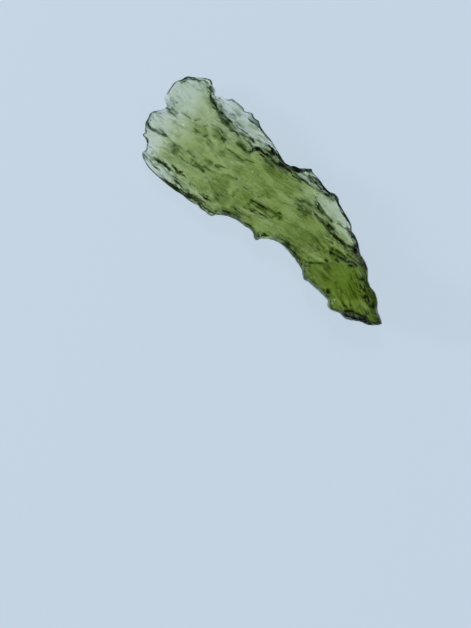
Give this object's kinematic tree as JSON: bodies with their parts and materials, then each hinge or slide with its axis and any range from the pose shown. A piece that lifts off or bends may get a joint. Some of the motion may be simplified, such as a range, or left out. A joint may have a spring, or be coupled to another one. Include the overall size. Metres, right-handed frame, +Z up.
{
  "type": "raw moldavite",
  "caption": "Flat, flow-streaked splinter of see-through green natural glass, with a thin broad end, a flanged edge, a wavy edge and a thick pointed tip.",
  "frame": {"origin": "on the surface the stone lies on, under the middle of its box", "axes": "+X from the broad thin end to the thick pointed tip, +Y towards the flanged edge, +Z up, away from the surface it lies on"},
  "size_m": [0.04, 0.0144, 0.0052],
  "materials": {
    "moldavite_glass": "natural bottle-green glass, see-through, pale where thin and deep olive green where thick, with a glossy, finely grooved and pitted skin"
  },
  "bodies": {
    "root": {"moldavite": "moldavite_glass"}
  },
  "joints": []
}
